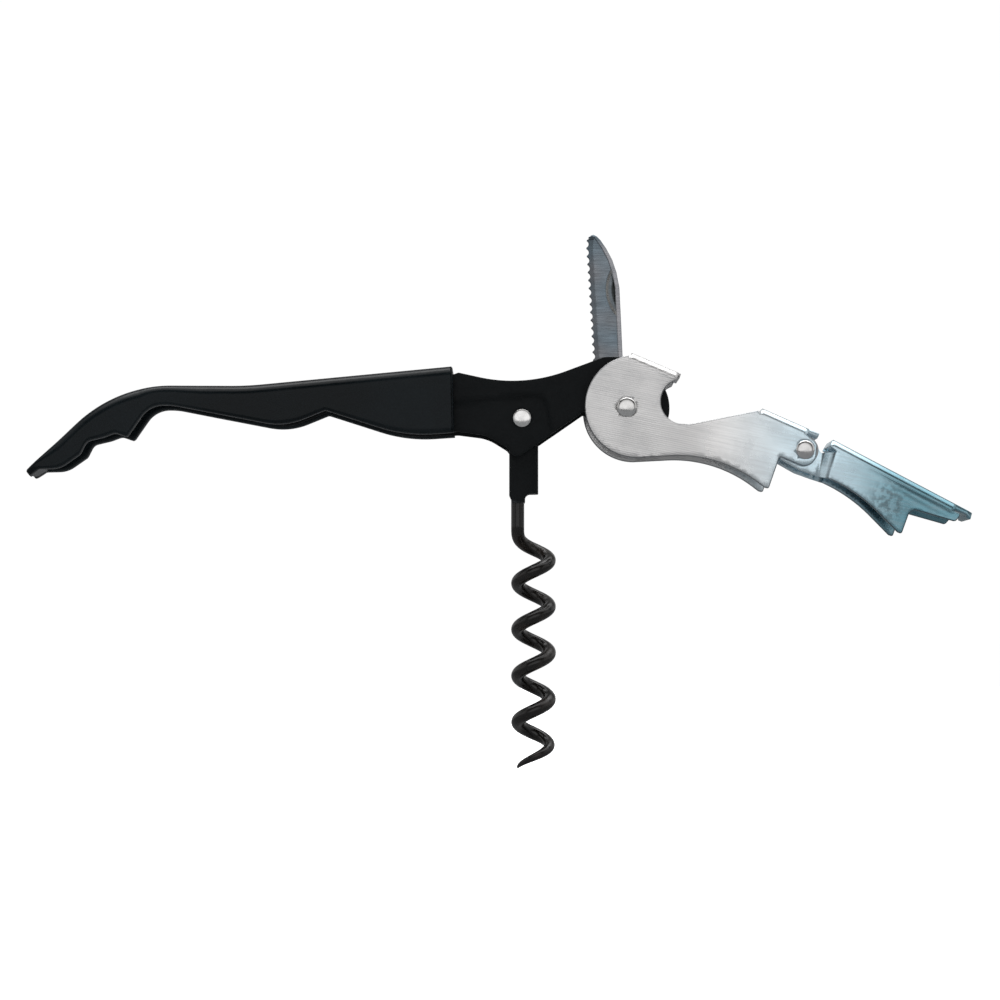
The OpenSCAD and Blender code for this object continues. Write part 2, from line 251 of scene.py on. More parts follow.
def plate(
    shell, outline, y0, y1, edge, seams=(), holes=(), relief=None, bow=None, gap=0.8, extra=()
):
    """A sheet between y0 and y1 with rounded edges: the outline is carried round the section of
    the sheet, a quarter circle of radius edge, the side, and another quarter circle, moved in by
    edge * (1 - sin) along the mitre of its two sides. Seams are sides left open for a fold. Holes
    are [x, z, r]. relief(points) and bow(points) move the y1 face, or both faces, along Y."""
    pts = subdivided(outline, gap, [s[0] for s in seams])
    nxt = np.roll(pts, -1, 0)
    side = nxt - pts
    inward = np.stack([-side[:, 1], side[:, 0]], 1) / np.linalg.norm(side, axis=1)[:, None]
    before = np.roll(inward, 1, 0)
    mitre = (inward + before) / np.maximum(1 + (inward * before).sum(1), 0.4)[:, None]
    open_side = np.zeros(len(pts), bool)
    for s in seams:
        open_side |= np.isclose(pts, s[0]).all(1) & np.isclose(nxt, s[1]).all(1)
    r = np.where(open_side | np.roll(open_side, 1), 0, edge)
    up = 1 if y1 > y0 else -1
    turns = np.radians([0, 30, 60, 90])
    rings = []
    for face, sign in ((y1, -1), (y0, 1)):
        ring = [
            np.stack([
                pts[:, 0] + mitre[:, 0] * r * (1 - math.sin(a)),
                face + sign * up * r * (1 - math.cos(a)),
                pts[:, 1] + mitre[:, 1] * r * (1 - math.sin(a)),
            ], 1)
            for a in turns
        ]
        rings += ring if face == y1 else ring[::-1]
    rings = np.array(rings)

    def moved(p, top):
        flat = p.reshape(-1, 3)[:, [0, 2]]
        dy = np.zeros(len(flat))
        if bow is not None:
            dy += bow(flat)
        if top and relief is not None:
            dy += relief(flat)
        out = p.reshape(-1, 3).copy()
        out[:, 1] += dy * up
        return out.reshape(p.shape)

    rings[:4] = moved(rings[:4], True)
    rings[4:] = moved(rings[4:], False)
    n = len(pts)
    i, j = np.meshgrid(np.arange(len(rings) - 1), np.arange(n)[~open_side], indexing="ij")
    k = (j + 1) % n
    quads = np.stack([i * n + j, i * n + k, (i + 1) * n + k, (i + 1) * n + j], -1)
    shell.add(rings, quads.reshape(-1, 4))
    for ring, face, top in ((rings[0], y1, True), (rings[-1], y0, False)):
        edge_pts = ring[:, [0, 2]]
        loops = [edge_pts] + [arc(h[:2], h[2], 0, 360, 9)[:-1] for h in holes]
        low, high = edge_pts.min(0), edge_pts.max(0)
        gx, gz = np.meshgrid(
            np.arange(low[0] + 0.37 * gap, high[0], gap), np.arange(low[1] + 0.41 * gap, high[1], gap)
        )
        inner = np.stack([gx.ravel(), gz.ravel()], 1)
        if len(extra):
            inner = inner[distance(inner, extra[0], False) > 0.7 * gap]
            inner = np.concatenate([inner, *extra])
        inner = inner[inside(inner, edge_pts)]
        inner = inner[distance(inner, edge_pts) > 0.4 * gap]
        for h in holes:
            inner = inner[np.linalg.norm(inner - h[:2], axis=1) > h[2] + 0.4 * gap]
        flat = np.concatenate(loops + [inner])
        edges, first = [], 0
        for loop in loops:
            edges += [(first + e, first + (e + 1) % len(loop)) for e in range(len(loop))]
            first += len(loop)
        made = delaunay_2d_cdt([Vector(v) for v in flat.tolist()], edges, [], 0, 1e-7)
        xz = np.array([v[:] for v in made[0]])
        tris = np.array([f for f in made[2]])
        mid = xz[tris].mean(1)
        keep = inside(mid, edge_pts)
        for h in holes:
            keep &= np.linalg.norm(mid - h[:2], axis=1) > h[2] * 0.995
        p = np.stack([xz[:, 0], np.full(len(xz), float(face)), xz[:, 1]], 1)
        shell.add(moved(p, top), tris[keep])
    for h in holes:
        loop = arc(h[:2], h[2], 0, 360, 9)[:-1]
        wall = np.stack([
            np.stack([loop[:, 0], np.full(len(loop), float(y)), loop[:, 1]], 1) for y in (y1, y0)
        ])
        wall[0], wall[1] = moved(wall[0], True), moved(wall[1], False)
        shell.grid(wall, wrap=True)


def seam_under(a, b, radius):
    """The two ends of the seam where a fold along a to b, bent to radius, meets the side plate."""
    up = np.array([a[1] - b[1], b[0] - a[0]]) / math.dist(a, b)
    return tuple(np.array(p) - radius * up for p in (a, b))


def fold(shell, a, b, y_out, radius, sheet, lip=()):
    """The bent top of a folded sheet, along the line a to b: at each side a quarter circle of
    radius (and of radius - sheet inside) turns the side plate into the flat top, which is a strip
    of thickness sheet carried straight across. lip is the run of points by which the flat top
    goes on past b."""
    a, b = np.array(a, float), np.array(b, float)
    along = (b - a) / np.linalg.norm(b - a)
    up = np.array([-along[1], along[0]])
    y_mid = y_out - radius
    turn = np.radians(np.linspace(0, 90, 10))
    rows = np.linspace(0, 1, int(np.linalg.norm(b - a) / 0.8) + 2)
    for side in (-1, 1):
        surfaces = []
        for r in (radius, radius - sheet):
            rise = r * np.sin(turn) - radius
            base = a + (b - a) * rows[:, None]
            p = np.zeros((len(turn), len(rows), 3))
            p[..., 0] = base[:, 0] + rise[:, None] * up[0]
            p[..., 2] = base[:, 1] + rise[:, None] * up[1]
            p[..., 1] = side * (y_mid + r * np.cos(turn))[:, None]
            surfaces.append(p)
            shell.grid(p)
        for e in (0, -1):
            shell.grid(np.stack([surfaces[0][:, e], surfaces[1][:, e]]))
    across = np.linspace(-1, 1, 21)
    lip = np.array(lip, float).reshape(-1, 2)
    top = a + (b - a) * rows[:, None]
    run = np.concatenate([top, lip, (top - up * sheet)[::-1]])
    p = np.zeros((len(across), len(run), 3))
    p[..., 0], p[..., 2] = run[:, 0], run[:, 1]
    p[..., 1] = across[:, None] * y_mid
    shell.grid(p, wrap=True)
    if len(lip):
        loop = np.concatenate([[top[-1]], lip, [top[-1] - up * sheet]])
        for y in (-y_mid, y_mid):
            ring = np.stack([loop[:, 0], np.full(len(loop), y), loop[:, 1]], 1)
            shell.add(ring, [list(range(len(loop)))])


def points_of(obj, at):
    """The mesh's points in millimetres from at."""
    co = np.zeros(len(obj.data.vertices) * 3)
    obj.data.vertices.foreach_get("co", co)
    return co.reshape(-1, 3) / MM - [at[0], 0, at[1]]


def put_mask(obj, name, values):
    obj.data.attributes.new(name, "FLOAT", "POINT").data.foreach_set("value", values)


def edge_mask(obj, at, outline, seams, reach):
    """Puts a mask of painted shade on the mesh that is 1 on the sheet's cut edge and 0 at reach inside it, and
    along the seams, where the sheet bends over instead."""
    flat = points_of(obj, at)[:, [0, 2]]
    mask = 1 - step((distance(flat, outline) - 0.5 * reach) / (0.5 * reach))
    for a, b in seams:
        mask *= step((distance(flat, np.array([a, b]), False) - 0.05) / 0.4)
    put_mask(obj, "edge_painted_shade", mask)


def revolved(shell, profile, sides=64):
    """The [r, y] profile turned about the Y axis."""
    profile = np.array(profile, float)
    a = np.linspace(0, 2 * np.pi, sides, endpoint=False)
    p = np.zeros((len(profile), sides, 3))
    p[..., 0] = profile[:, :1] * np.cos(a)
    p[..., 2] = profile[:, :1] * np.sin(a)
    p[..., 1] = profile[:, 1:]
    shell.grid(p, wrap=True)


# ---- materials ----


class Nodes:
    """Short calls that add nodes to one node tree."""

    def __init__(self, tree):
        self.tree = tree

    def add(self, kind, inputs=None, **settings):
        node = self.tree.nodes.new(kind)
        for key, value in settings.items():
            setattr(node, key, value)
        for key, value in (inputs or {}).items():
            if isinstance(value, bpy.types.NodeSocket):
                self.tree.links.new(value, node.inputs[key])
            else:
                node.inputs[key].default_value = value
        return node

    def math(self, operation, a, b=0.0):
        return self.add("ShaderNodeMath", {0: a, 1: b}, operation=operation).outputs[0]

    def times(self, a, b):
        return self.math("MULTIPLY", a, b)

    def noise(self, vector, scale, detail, **more):
        inputs = {"Vector": vector, "Scale": scale, "Detail": detail}
        return self.add("ShaderNodeTexNoise", {**inputs, **more}).outputs[0]

    def mask(self, name):
        """A mask that a piece's mesh carries on its points."""
        return self.add("ShaderNodeAttribute", attribute_name=name).outputs["Fac"]

    def ramp(self, value, low, high, out_low=0.0, out_high=1.0):
        return self.add(
            "ShaderNodeMapRange",
            {"Value": value, "From Min": low, "From Max": high, "To Min": out_low, "To Max": out_high},
            interpolation_type="SMOOTHSTEP",
        ).outputs[0]

    def mix(self, factor, a, b):
        node = self.add("ShaderNodeMix", {"Factor": factor}, data_type="RGBA")
        for socket, value in ((node.inputs[6], a), (node.inputs[7], b)):
            if isinstance(value, bpy.types.NodeSocket):
                self.tree.links.new(value, socket)
            else:
                socket.default_value = (*value[:3], 1)
        return node.outputs[2]


def group(name, inputs, outputs, body):
    """A shader node group with the named float inputs and outputs, filled in by body."""
    if name in bpy.data.node_groups:
        return bpy.data.node_groups[name]
    tree = bpy.data.node_groups.new(name, "ShaderNodeTree")
    for key, (kind, value) in inputs.items():
        s = tree.interface.new_socket(key, in_out="INPUT", socket_type=kind)
        if value is not None:
            s.default_value = value
    for key, kind in outputs.items():
        tree.interface.new_socket(key, in_out="OUTPUT", socket_type=kind)
    n = Nodes(tree)
    source = tree.nodes.new("NodeGroupInput")
    sink = tree.nodes.new("NodeGroupOutput")
    made = body(n, {s.name: s for s in source.outputs if s.name})
    for key, value in made.items():
        tree.links.new(value, sink.inputs[key])
    return tree


FLOAT, VECTOR = "NodeSocketFloat", "NodeSocketVector"


def fine_grain():
    """Cloudy value from two noises of different size, and a bump of it."""

    def body(n, i):
        big = n.noise(i["Vector"], i["Scale"], 4.0)
        small = n.noise(i["Vector"], n.times(i["Scale"], 9.0), 3.0)
        value = n.math("ADD", n.times(big, 0.65), n.times(small, 0.35))
        bump = n.add(
            "ShaderNodeBump",
            {"Height": value, "Strength": i["Strength"], "Distance": i["Distance"]},
        )
        return {"Value": value, "Normal": bump.outputs[0]}

    return group(
        "Fine grain",
        {"Vector": (VECTOR, None), "Scale": (FLOAT, 300.0), "Strength": (FLOAT, 0.3),
         "Distance": (FLOAT, 0.0002)},
        {"Value": FLOAT, "Normal": VECTOR},
        body,
    )


def drawn_lines():
    """Fine parallel lines across a direction: a noise squeezed hard along it."""

    def body(n, i):
        turned = n.add("ShaderNodeMapping", {"Vector": i["Vector"], "Rotation": i["Rotation"]})
        squeezed = n.add(
            "ShaderNodeVectorMath", {0: turned.outputs[0], 1: i["Stretch"]}, operation="MULTIPLY"
        )
        return {"Value": n.noise(squeezed.outputs[0], 1.0, 2.0)}

    return group(
        "Drawn lines",
        {"Vector": (VECTOR, None), "Rotation": (VECTOR, None), "Stretch": (VECTOR, None)},
        {"Value": FLOAT},
        body,
    )


def worn_edge():
    """Mask of the corners that handling rubs: the surface's pointiness, broken up by a noise."""

    def body(n, i):
        point = n.add("ShaderNodeNewGeometry").outputs["Pointiness"]
        noise = n.noise(i["Vector"], i["Scale"], 5.0)
        spread = n.times(n.math("SUBTRACT", noise, 0.5), i["Breakup"])
        rough = n.math("ADD", point, spread)
        mask = n.add(
            "ShaderNodeMapRange",
            {"Value": rough, "From Min": i["From"], "From Max": i["To"]},
            interpolation_type="SMOOTHSTEP",
        )
        return {"Mask": mask.outputs[0]}

    return group(
        "Worn edge",
        {"Vector": (VECTOR, None), "Scale": (FLOAT, 400.0), "Breakup": (FLOAT, 0.1),
         "From": (FLOAT, 0.55), "To": (FLOAT, 0.62)},
        {"Mask": FLOAT},
        body,
    )


def finish(name, roughness, metallic=0.0, **uniform):
    """A new material with a Principled shader whose even values sit on its own sockets."""
    material = bpy.data.materials.new(name)
    material.use_nodes = True
    n = Nodes(material.node_tree)
    shader = material.node_tree.nodes["Principled BSDF"]
    shader.inputs["Roughness"].default_value = roughness
    shader.inputs["Metallic"].default_value = metallic
    for key, value in uniform.items():
        shader.inputs[key.replace("_", " ")].default_value = value
    where = n.add("ShaderNodeTexCoord").outputs["Object"]
    return material, n, shader, where


def link(n, shader, **sockets):
    for key, value in sockets.items():
        n.tree.links.new(value, shader.inputs[key.replace("_", " ")])


def grain(n, where, scale, strength, distance):
    node = n.add("ShaderNodeGroup", node_tree=fine_grain())
    n.tree.links.new(where, node.inputs["Vector"])
    for key, value in (("Scale", scale), ("Strength", strength), ("Distance", distance)):
        node.inputs[key].default_value = value
    return node


def lines(n, where, rotation, stretch):
    node = n.add("ShaderNodeGroup", node_tree=drawn_lines())
    n.tree.links.new(where, node.inputs["Vector"])
    node.inputs["Rotation"].default_value = rotation
    node.inputs["Stretch"].default_value = stretch
    return node.outputs["Value"]


def paint_finish(tones):
    """Satin paint: slight orange peel, uneven gloss, and rubbed grey on its edges."""
    m, n, shader, where = finish("black_paint", 0.42, Specular_IOR_Level=0.08)
    peel = grain(n, where, 900.0, 0.12, 0.0001)
    worn = n.add("ShaderNodeGroup", {"Vector": where}, node_tree=worn_edge())
    for key, value in (("Scale", 500.0), ("Breakup", 0.12), ("From", 0.6), ("To", 0.75)):
        worn.inputs[key].default_value = value
    cloud = n.noise(where, 120.0, 3.0)
    base = n.mix(cloud, tones.paint, [c * 1.9 for c in tones.paint])
    link(
        n, shader,
        Base_Color=n.mix(n.times(worn.outputs[0], 0.3), base, (0.05, 0.055, 0.06)),
        Roughness=n.ramp(peel.outputs[0], 0.3, 0.7, 0.34, 0.5),
        Normal=peel.outputs[1],
    )
    return m


def grip_finish(tones):
    """Glossy moulding: faint flow waves under a harder gloss, with finger-rubbed patches."""
    m, n, shader, where = finish(
        "black_grip", 0.22, Specular_IOR_Level=0.1, Coat_Weight=0.07, Coat_Roughness=0.08
    )
    waves = grain(n, where, 90.0, 0.18, 0.0006)
    cloud = n.noise(where, 60.0, 6.0)
    link(
        n, shader,
        Base_Color=n.mix(n.ramp(cloud, 0.35, 0.7), tones.grip, [c * 1.8 for c in tones.grip]),
        Roughness=n.ramp(cloud, 0.3, 0.75, 0.17, 0.33),
        Normal=waves.outputs[1],
    )
    return m


def coating_finish(tones):
    """Glossy slippery coating, with a slightly uneven skin."""
    m, n, shader, where = finish(
        "worm_coating", 0.25, Specular_IOR_Level=0.4, Coat_Weight=0.1, Coat_Roughness=0.1
    )
    skin = grain(n, where, 350.0, 0.2, 0.0002)
    cloud = n.noise(where, 260.0, 5.0)
    link(
        n, shader,
        Base_Color=n.mix(n.ramp(cloud, 0.45, 0.8), tones.coating, (0.014, 0.010, 0.008)),
        Roughness=n.ramp(cloud, 0.3, 0.8, 0.16, 0.36),
        Normal=skin.outputs[1],
    )
    return m


def steel(name, tone, gloss, stretch, bump, patches, spine=None):
    """Bare metal: fine lines modulate its colour and gloss, with cloudy patches over them. A blade also has a tone
    for its spine, and masks for the spine and the nail nick; the nick's mask paints a highlight on its rim and
    shade inside it."""
    m, n, shader, where = finish(name, gloss[0], 1.0)
    value = lines(n, where, (0, 0, 0), stretch)
    cloud = n.noise(where, 180.0, 5.0)
    dark = [c * (1 - patches) for c in tone]
    shade = n.mix(n.ramp(cloud, 0.35, 0.7), tone, dark)
    fine = n.mix(n.times(n.ramp(value, 0.35, 0.65), 0.35), shade, [c * 0.72 for c in tone])
    if spine is not None:
        wide = n.noise(where, 75.0, 2.0)
        fine = n.mix(n.ramp(wide, 0.42, 0.6, 0.0, 0.6), fine, (0.28, 0.265, 0.27))
        fine = n.mix(n.times(n.mask("spine"), n.ramp(cloud, 0.2, 0.6, 0.7, 1.0)), fine, spine)
        # Painted highlight on the nail nick's rim, and painted shade inside the nick
        cut = n.mask("nick")
        rim = n.times(n.ramp(cut, 0.02, 0.12), n.ramp(cut, 0.3, 0.75, 1.0, 0.25))
        fine = n.mix(rim, fine, (0.36, 0.36, 0.35))
        fine = n.mix(n.ramp(cut, 0.9, 1.35, 0.0, 0.9), fine, (0.03, 0.032, 0.03))
    made = n.add("ShaderNodeBump", {"Height": value, "Strength": bump, "Distance": 0.00005})
    link(
        n, shader, Base_Color=fine, Roughness=n.ramp(value, 0.3, 0.7, *gloss),
        Normal=made.outputs[0],
    )
    return m


def plated_finish(tones):
    """Bright plating over rolled sheet. Close parallel lines cover the disc, the sheet turns smoother and satin
    along the arm, and the second lever is cooler with cloudy dark patches, and darker towards its end by a painted
    shade."""
    m, n, shader, where = finish("plated_steel", 0.25, 1.0)
    split = n.add("ShaderNodeSeparateXYZ", {"Vector": where})
    x, z = split.outputs["X"], split.outputs["Z"]
    slope = math.radians(12)
    turned = n.add("ShaderNodeMapping", {"Vector": where, "Rotation": (0, -slope, 0)})
    wave = n.add(
        "ShaderNodeTexWave",
        {"Vector": turned.outputs[0], "Scale": 820.0, "Distortion": 0.5, "Detail": 2.0,
         "Detail Scale": 2.0},
        wave_type="BANDS", bands_direction="Z",
    ).outputs[1]
    streaks = lines(n, where, (0, -slope, 0), (90.0, 90.0, 3200.0))
    disc = n.ramp(x, LEVER_AT[0] * MM + 0.011, LEVER_AT[0] * MM + 0.019, 1.0, 0.0)
    tip = n.ramp(x, TIP_AT[0] * MM - 0.018, TIP_AT[0] * MM + 0.004)
    cloud = n.noise(where, 130.0, 6.0, Roughness=0.6)
    mottle = n.noise(where, 900.0, 4.0)
    spot = n.add(
        "ShaderNodeVectorMath",
        {0: where, 1: ((TIP_AT[0] + 15.5) * MM, -LEVER_Y * MM, (TIP_AT[1] - 9.8) * MM)},
        operation="DISTANCE",
    ).outputs["Value"]
    blotch = n.times(n.ramp(spot, 0.0012, 0.0055, 1.0, 0.0), n.ramp(mottle, 0.4, 0.62))
    # Painted shade: towards the second lever's end the plating turns to the darker end tone
    end = n.ramp(x, TIP_AT[0] * MM + 0.002, TIP_AT[0] * MM + 0.0195)
    base = n.mix(tip, tones.plate_warm, n.mix(end, tones.plate_cool, tones.plate_end_painted_shade))
    base = n.mix(n.times(n.ramp(cloud, 0.45, 0.75), 0.18), base, (0.50, 0.52, 0.56))
    base = n.mix(n.times(blotch, 0.75), base, (0.10, 0.15, 0.17))
    marks = n.times(wave, n.times(disc, 0.3))
    base = n.mix(marks, base, (0.5, 0.49, 0.49))
    base = n.mix(n.times(n.ramp(streaks, 0.4, 0.7), 0.18), base, (0.45, 0.46, 0.47))
    # Painted shade darkens the sheet's cut edges
    base = n.mix(n.times(n.mask("edge_painted_shade"), 0.6), base, (0.12, 0.13, 0.14))
    height = n.math("ADD", n.times(wave, disc), n.times(streaks, 0.6))
    bump = n.add("ShaderNodeBump", {"Height": height, "Strength": 0.12, "Distance": 0.00006})
    rough = n.math("ADD", n.ramp(cloud, 0.3, 0.7, 0.2, 0.3), n.times(disc, 0.1))
    link(n, shader, Base_Color=base, Roughness=rough, Normal=bump.outputs[0])
    return m


def make_materials(tones):
    """One finish for each of the record's material slots, made once."""
    made = {
        "black_paint": paint_finish,
        "black_grip": grip_finish,
        "worm_coating": coating_finish,
        "plated_steel": plated_finish,
        "knife_steel": lambda t: steel(
            "knife_steel", t.knife, (0.24, 0.4), (300.0, 300.0, 5200.0), 0.2, 0.3, (0.37, 0.37, 0.39)
        ),
        "rivet_steel": lambda t: steel(
            "rivet_steel", t.rivet, (0.12, 0.22), (900.0, 900.0, 900.0), 0.06, 0.2
        ),
        "inner_steel": lambda t: steel(
            "inner_steel", t.inner, (0.3, 0.45), (400.0, 3000.0, 400.0), 0.2, 0.3
        ),
    }
    for name, make in made.items():
        if name not in bpy.data.materials or not bpy.data.materials[name].get("corkscrew"):
            old = bpy.data.materials.get(name)
            if old:
                old.name = name + "_frame"
            make(tones)["corkscrew"] = True


def settle(obj, body, *nodes):
    """Gives a finished piece its material, slot, body and the nodes that it stands for."""
    slot = SLOT_OF[nodes[0]]
    obj.data.materials.clear()
    obj.data.materials.append(bpy.data.materials[slot])
    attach(obj, body)
    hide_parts(*nodes)


# ---- pieces ----


class PieceOperator:
    bl_options = {"REGISTER", "UNDO"}

    @property
    def sizes(self):
        return bpy.context.scene.corkscrew_sizes


class CORKSCREW_OT_finishes(PieceOperator, bpy.types.Operator):
    """Makes every finish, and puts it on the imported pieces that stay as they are"""

    bl_idname = "corkscrew.finishes"
    bl_label = "Finishes"

    def execute(self, context):
        make_materials(context.scene.corkscrew_finishes)
        for name, obj in frame["nodes"].items():
            for i in range(max(1, len(obj.material_slots))):
                material = bpy.data.materials[SLOT_OF[name]]
                if i < len(obj.material_slots):
                    obj.material_slots[i].material = material
                else:
                    obj.data.materials.append(material)
        return {"FINISHED"}


CHEEK_CORNERS = [
    [-60, 2.2, 0.8], [-44.6, -1, 6], [-36.9, 2, 1], [-22, -2.8, 6], [-12, -2.6, 0], [-6.5, -3.3, 8],
    [-2.8, -5.6, 1], [-1.2, -7.7, 1.2], [11.9, 1.4, 0.6],
]
CHEEK_TOP = [
    [19, 11.5, 0.3], [15.6, 11.6, 4], [0.3, 5.9, 29], [-12, 8.6, 0.4], [-13.6, 8, 0], [-52, 4.65, 0],
    [-60, 4.2, 0.8],
]
RECESS = [[-30, 1.6, 0.6], [-30, -9, 0], [7.2, -9, 0], [4.4, 4.7, 2.4]]


class CORKSCREW_OT_cheeks(PieceOperator, bpy.types.Operator):
    """Two stamped cheeks: an outline with the lever's round end, and a pressed recess by the worm"""

    bl_idname = "corkscrew.cheeks"
    bl_label = "Cheeks"

    def execute(self, context):
        end_at = LEVER_AT - WORM_AT
        end = arc(end_at, 8.1, -95, 78, 4)
        low = open_run(CHEEK_CORNERS + [[*end[0], 0]], (0, 3), end[0])
        high = open_run([[*end[-1], 0]] + CHEEK_TOP, (-50, 3), end[-1])
        outline = np.concatenate([low, end, high])
        recess = rounded(RECESS)
        depth = self.sizes.recess

        def pressed(p):
            into = np.where(inside(p, recess), distance(p, recess), 0)
            return -depth * step(into / 0.55)

        ring = subdivided(recess, 0.3)
        inner = [ring]
        for offset in (0.28, 0.56):
            centre = np.array([-2.0, -1.0])
            inner.append(ring + (centre - ring) * offset / np.linalg.norm(centre - ring, axis=1)[:, None])
        for name, y0, y1 in (("front_cheek_piece", -CHEEK_Y[0], -CHEEK_Y[1]),
                             ("rear_cheek_piece", CHEEK_Y[0], CHEEK_Y[1])):
            shell = Shell()
            plate(
                shell, outline, y0, y1, self.sizes.cheek_edge, relief=pressed, gap=0.7, extra=inner,
                holes=[[0, 0, 1.52], [*end_at, 1.52]],
            )
            settle(shell.build(name, WORM_AT), "handle", name[:-6])
        return {"FINISHED"}


GRIP_TOP = [
    [-95, -11.1, 0], [-93.7, -9.9, 0], [-76.5, 6.3, 26], [-52, 6.2, 60], [-13.1, 9.9, 0], [-12, 9.9, 0]
]
GRIP_LOW = [
    [-94, -11.0, 0], [-92.8, -11, 0.4], [-91, -9.7, 0.5], [-87, -9.6, 5], [-83.2, -6.9, 0.3],
    [-82, -4.5, 1.6], [-78.7, -3.7, 0.3], [-76.6, -2.9, 1.5], [-74.3, -3.7, 0.5], [-70.2, 2.3, 5],
    [-66, 2.3, 12],
    [-44.6, -1.8, 13], [-37, 1.3, 0.8], [-22, -3.5, 28], [-12.8, -2.9, 0], [-11, -2.9, 0],
]


def height_of(corners, far):
    """The outline through corners as a height over x, closed through a point far below or above."""
    pts = rounded(corners + [[-50, far, 0]])
    pts = pts[~np.isclose(pts, [-50, far]).all(1)]
    pts = pts[np.argsort(pts[:, 0], kind="stable")]
    return lambda x: np.interp(x, pts[:, 0], pts[:, 1])


class CORKSCREW_OT_grip(PieceOperator, bpy.types.Operator):
    """Moulded grip: a hollow section like an upturned U, carried from the tail to the cheeks"""

    bl_idname = "corkscrew.grip"
    bl_label = "Grip"

    def execute(self, context):
        rows = 330
        s = np.linspace(0, 1, rows)
        turn = np.radians([0, 30, 60, 90])
        ends = 0.45
        # Four extra rows at each end round the wall's edge off
        s = np.concatenate([np.zeros(3), s, np.ones(3)])
        shrink = np.zeros(len(s))
        shrink[:4] = ends * (1 - np.sin(turn))
        shrink[-4:] = shrink[:4][::-1]
        slide = np.zeros(len(s))
        slide[:4] = ends * (1 - np.cos(turn))
        slide[-4:] = -slide[:4][::-1]
        top_ends, low_ends = (-93.7, -13.1), (-92.8, -12.8)
        x_top = top_ends[0] + s * (top_ends[1] - top_ends[0]) + slide
        x_low = low_ends[0] + s * (low_ends[1] - low_ends[0]) + slide
        top_at = height_of(GRIP_TOP, -40)
        top, low = top_at(x_top), height_of(GRIP_LOW, 40)(x_low)
        tail = np.clip((-58 - x_top) / 37, 0, 1)
        # The tail's end is round in plan, over its last 1.8 mm
        round_end = np.clip((1.8 - (x_top - top_ends[0])) / 1.8, 0, 1)
        wave = 0.05 * (0.5 + 0.5 * np.sin(x_top * 0.55) * np.sin(x_top * 0.21 + 1))
        half = GRIP_Y - 1.6 * tail - 1.5 * (1 - np.sqrt(1 - round_end**2)) - wave
        wall = 2.0 + 0.7 * step(tail * 3)
        roof = np.maximum(top - 1.5, low + 0.06)
        hollow = low + 0.06 + (roof - low - 0.06) * step((x_top + 91.8) / 1.3)
        roof = np.where(x_top < -90.5, hollow, roof)
        thick = top - low

        def half_section(outer):
            """Left half of the section, from the middle of the rim to the middle of the top."""
            w = half if outer else half - wall
            t = top if outer else roof
            corner = np.minimum(self.sizes.grip_corner if outer else 0.8, 0.45 * np.maximum(t - low, 0.02))
            rim = np.minimum(0.5, 0.3 * np.maximum(t - low, 0.02))
            q = np.radians(np.linspace(0, 90, 7))
            sign = 1 if outer else -1
            rim_y = -(half - wall / 2)[:, None] - sign * (wall / 2)[:, None] * np.sin(q)
            rim_z = low[:, None] + rim[:, None] * (1 - np.cos(q))
            k = np.linspace(0, 1, 15)[1:-1]
            side_z = (low + rim)[:, None] + (t - low - rim - corner)[:, None] * k
            side_y = np.repeat(-w[:, None], len(k), 1)
            c = np.radians(np.linspace(0, 90, 12))
            corner_y = -w[:, None] + corner[:, None] * (1 - np.cos(c))
            corner_z = (t - corner)[:, None] + corner[:, None] * np.sin(c)
            flat = np.concatenate([np.linspace(0, 1, 9)[1:], [1.02]])
            start = (w - corner)[:, None]
            flat_y = -(start + (1.22 - start) * np.minimum(flat, 1))
            flat_y[:, -1] = -1.16
            flat_y = np.concatenate([flat_y, np.tile([-0.8, -0.4, 0.0], (len(s), 1))], 1)
            crown = 0.25 * (np.abs(flat_y) / GRIP_Y) ** 2 if outer else 0 * flat_y
            flat_z = t[:, None] - crown
            corner_z -= (0.25 * (start / GRIP_Y) ** 2 if outer else 0) * np.sin(c)
            section_y = np.concatenate([rim_y, side_y, corner_y, flat_y], 1)
            return section_y, np.concatenate([rim_z, side_z, corner_z, flat_z], 1)

        surfaces = []
        for outer in (True, False):
            y, z = half_section(outer)
            y = np.concatenate([y, -y[:, -2::-1]], 1)
            z = np.concatenate([z, z[:, -2::-1]], 1)
            share = (z - low[:, None]) / np.maximum(thick, 0.3)[:, None]
            x = x_low[:, None] + (x_top - x_low)[:, None] * np.clip(share, 0, 1)
            # The knife's point drops into a notch in the middle of the front edge
            notch = (np.abs(y) < 1.19) & (z > 3)
            back = np.where(notch, x - 2.5 * np.clip((x + 23.1) / 10, 0, 1), x)
            z = z + top_at(back) - top_at(x)
            x = back
            surfaces.append(np.stack([x, y, z], 2))
        middle = (surfaces[0] + surfaces[1]) / 2
        reach = surfaces[0] - middle
        span = np.maximum(np.linalg.norm(reach[..., 1:], axis=2), 1e-3)
        scale = 1 - np.minimum(shrink[:, None] / span, 0.85)
        shell = Shell()
        outer, inner = middle + reach * scale[..., None], middle - reach * scale[..., None]
        shell.grid(outer)
        shell.grid(inner)
        for e in (0, -1):
            shell.grid(np.stack([outer[e], inner[e]]))
        shell.grid(np.stack([outer[:, 0], inner[:, 0]]))
        shell.grid(np.stack([outer[:, -1], inner[:, -1]]))
        settle(shell.build("grip", WORM_AT, weighted=False), "handle", "grip_shell")
        return {"FINISHED"}


CLIP_CORNERS = [
    [-2.4, -1, 0], [-2.4, -14.3, 0.4], [-2, -15.2, 0.3], [-2, -15.8, 0.2], [0.6, -15.8, 0.2],
    [0.6, -14.1, 1.0],
]


